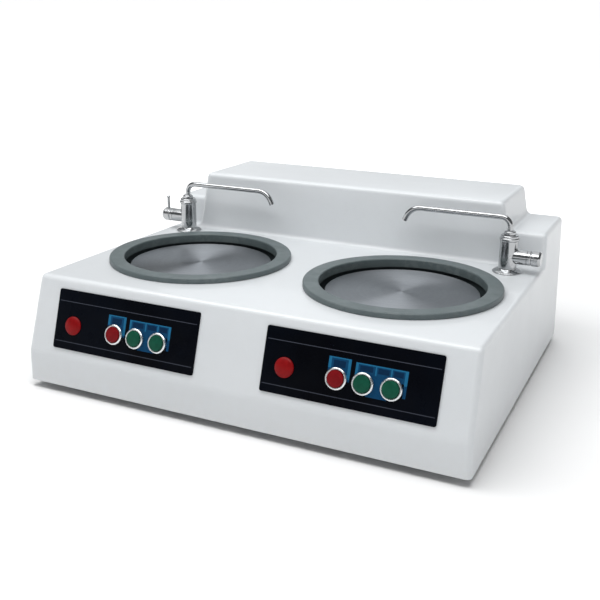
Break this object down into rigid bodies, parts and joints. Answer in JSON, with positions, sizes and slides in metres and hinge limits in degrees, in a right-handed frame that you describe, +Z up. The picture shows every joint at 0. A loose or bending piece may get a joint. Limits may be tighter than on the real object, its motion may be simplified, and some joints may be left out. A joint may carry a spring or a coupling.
{
  "type": "metallographic polishing machine",
  "caption": "Bench-top wet grinder and polisher for metal samples: moulded body with side-by-side discs in splash rings, swivel taps and push-button panels.",
  "frame": {"origin": "middle of the footprint on the surface that the feet stand on", "axes": "+X to the right, +Y to the rear, +Z up, seen from the operator at the front"},
  "size_m": [0.7, 0.6, 0.278],
  "materials": {
    "white_moulding": "glossy white gel coat on glass-fibre moulding",
    "plate_steel": "zinc-plated sheet steel",
    "feet_rubber": "black rubber",
    "screw_steel": "bright zinc",
    "bearing_steel": "ground steel",
    "fitting_brass": "turned brass",
    "hose_plastic": "clear-white hose",
    "pipe_plastic": "pale grey waste pipe",
    "switchgear_plastic": "dark moulded switchgear",
    "gland_plastic": "black nylon",
    "basin_plastic": "dark grey-green moulding",
    "ring_plastic": "grey-green satin moulding",
    "disc_aluminium": "face-turned, fine circular lines",
    "carrier_aluminium": "machined casting",
    "shaft_steel": "turned steel",
    "pulley_iron": "machined cast iron",
    "housing_iron": "painted casting",
    "belt_rubber": "black belt",
    "motor_paint": "blue-grey motor enamel",
    "panel_black": "gloss black overlay with plain blue button fields",
    "lamp_red": "red lens, dimly lit",
    "bezel_chrome": "satin silver bezel",
    "button_red": "red cap",
    "button_green": "green cap",
    "tap_chrome": "polished chrome"
  },
  "bodies": {
    "machine_body": {"body_shell": "white_moulding", "base_plate": "plate_steel", "rubber_feet": "feet_rubber", "base_screws": "screw_steel", "spindle_bearings": "bearing_steel", "bridge_bolts": "screw_steel", "tap_locknuts": "fitting_brass", "water_hoses": "hose_plastic", "water_inlet": "fitting_brass", "drain_pipes": "pipe_plastic", "contactor_plate": "plate_steel", "contactors": "switchgear_plastic", "cable_gland": "gland_plastic", "left_basin": "basin_plastic", "left_bearing_housing": "housing_iron", "left_drive_bridge": "plate_steel", "left_drive_belt": "belt_rubber", "left_motor_case": "motor_paint", "left_control_panel": "panel_black", "left_pilot_lamp": "lamp_red", "left_button_bezels": "bezel_chrome", "left_switch_blocks": "switchgear_plastic", "left_tap_body": "tap_chrome", "right_basin": "basin_plastic", "right_bearing_housing": "housing_iron", "right_drive_bridge": "plate_steel", "right_drive_belt": "belt_rubber", "right_motor_case": "motor_paint", "right_control_panel": "panel_black", "right_pilot_lamp": "lamp_red", "right_button_bezels": "bezel_chrome", "right_switch_blocks": "switchgear_plastic", "right_tap_body": "tap_chrome"},
    "left_disc_drive": {"left_spindle": "shaft_steel", "left_disc_carrier": "carrier_aluminium", "left_grinding_disc": "disc_aluminium", "left_spindle_pulley": "pulley_iron"},
    "left_motor_drive": {"left_motor_rotor": "shaft_steel", "left_motor_pulley": "pulley_iron"},
    "left_ring": {"left_splash_ring": "ring_plastic"},
    "left_swivel_spout": {"left_spout": "tap_chrome"},
    "left_tap_lever": {"left_tap_handle": "tap_chrome"},
    "left_stop_cap": {"left_stop_button": "button_red"},
    "left_low_speed_cap": {"left_low_speed_button": "button_green"},
    "left_high_speed_cap": {"left_high_speed_button": "button_green"},
    "right_disc_drive": {"right_spindle": "shaft_steel", "right_disc_carrier": "carrier_aluminium", "right_grinding_disc": "disc_aluminium", "right_spindle_pulley": "pulley_iron"},
    "right_motor_drive": {"right_motor_rotor": "shaft_steel", "right_motor_pulley": "pulley_iron"},
    "right_ring": {"right_splash_ring": "ring_plastic"},
    "right_swivel_spout": {"right_spout": "tap_chrome"},
    "right_tap_lever": {"right_tap_handle": "tap_chrome"},
    "right_stop_cap": {"right_stop_button": "button_red"},
    "right_low_speed_cap": {"right_low_speed_button": "button_green"},
    "right_high_speed_cap": {"right_high_speed_button": "button_green"}
  },
  "joints": [
    {"name": "left_disc_spin", "type": "hinge", "parent": "machine_body", "child": "left_disc_drive", "pos_m": [-0.174, -0.072, 0.1], "axis": [0, 0, 1], "continuous": true},
    {"name": "left_motor_spin", "type": "hinge", "parent": "machine_body", "child": "left_motor_drive", "pos_m": [-0.174, 0.197, 0.15], "axis": [0, 0, 1], "continuous": true},
    {"name": "left_ring_lift", "type": "slide", "parent": "machine_body", "child": "left_ring", "axis": [0, 0, 1], "range_m": [0, 0.045]},
    {"name": "left_spout_swivel", "type": "hinge", "parent": "machine_body", "child": "left_swivel_spout", "pos_m": [-0.295, 0.081, 0.24], "axis": [0, 0, -1], "range_deg": [-8, 180]},
    {"name": "left_lever_turn", "type": "hinge", "parent": "machine_body", "child": "left_tap_lever", "pos_m": [-0.338, 0.081, 0.2], "axis": [1, 0, 0], "range_deg": [0, 90]},
    {"name": "left_stop_press", "type": "slide", "parent": "machine_body", "child": "left_stop_cap", "axis": [0, 0.9512, -0.3087], "range_m": [0, 0.003], "stiffness_N_per_m": 300, "springref_m": -0.002},
    {"name": "left_low_speed_press", "type": "slide", "parent": "machine_body", "child": "left_low_speed_cap", "axis": [0, 0.9512, -0.3087], "range_m": [0, 0.003], "stiffness_N_per_m": 300, "springref_m": -0.002},
    {"name": "left_high_speed_press", "type": "slide", "parent": "machine_body", "child": "left_high_speed_cap", "axis": [0, 0.9512, -0.3087], "range_m": [0, 0.003], "stiffness_N_per_m": 300, "springref_m": -0.002},
    {"name": "right_disc_spin", "type": "hinge", "parent": "machine_body", "child": "right_disc_drive", "pos_m": [0.174, -0.072, 0.1], "axis": [0, 0, 1], "continuous": true},
    {"name": "right_motor_spin", "type": "hinge", "parent": "machine_body", "child": "right_motor_drive", "pos_m": [0.174, 0.197, 0.15], "axis": [0, 0, 1], "continuous": true},
    {"name": "right_ring_lift", "type": "slide", "parent": "machine_body", "child": "right_ring", "axis": [0, 0, 1], "range_m": [0, 0.045]},
    {"name": "right_spout_swivel", "type": "hinge", "parent": "machine_body", "child": "right_swivel_spout", "pos_m": [0.295, 0.081, 0.24], "axis": [0, 0, 1], "range_deg": [-8, 180]},
    {"name": "right_lever_turn", "type": "hinge", "parent": "machine_body", "child": "right_tap_lever", "pos_m": [0.338, 0.081, 0.2], "axis": [1, 0, 0], "range_deg": [0, 90]},
    {"name": "right_stop_press", "type": "slide", "parent": "machine_body", "child": "right_stop_cap", "axis": [0, 0.9512, -0.3087], "range_m": [0, 0.003], "stiffness_N_per_m": 300, "springref_m": -0.002},
    {"name": "right_low_speed_press", "type": "slide", "parent": "machine_body", "child": "right_low_speed_cap", "axis": [0, 0.9512, -0.3087], "range_m": [0, 0.003], "stiffness_N_per_m": 300, "springref_m": -0.002},
    {"name": "right_high_speed_press", "type": "slide", "parent": "machine_body", "child": "right_high_speed_cap", "axis": [0, 0.9512, -0.3087], "range_m": [0, 0.003], "stiffness_N_per_m": 300, "springref_m": -0.002}
  ],
  "couplings": [
    {"joint": "left_motor_spin", "follows": "left_disc_spin", "ratio": 2.5686},
    {"joint": "right_motor_spin", "follows": "right_disc_spin", "ratio": 2.5686}
  ]
}
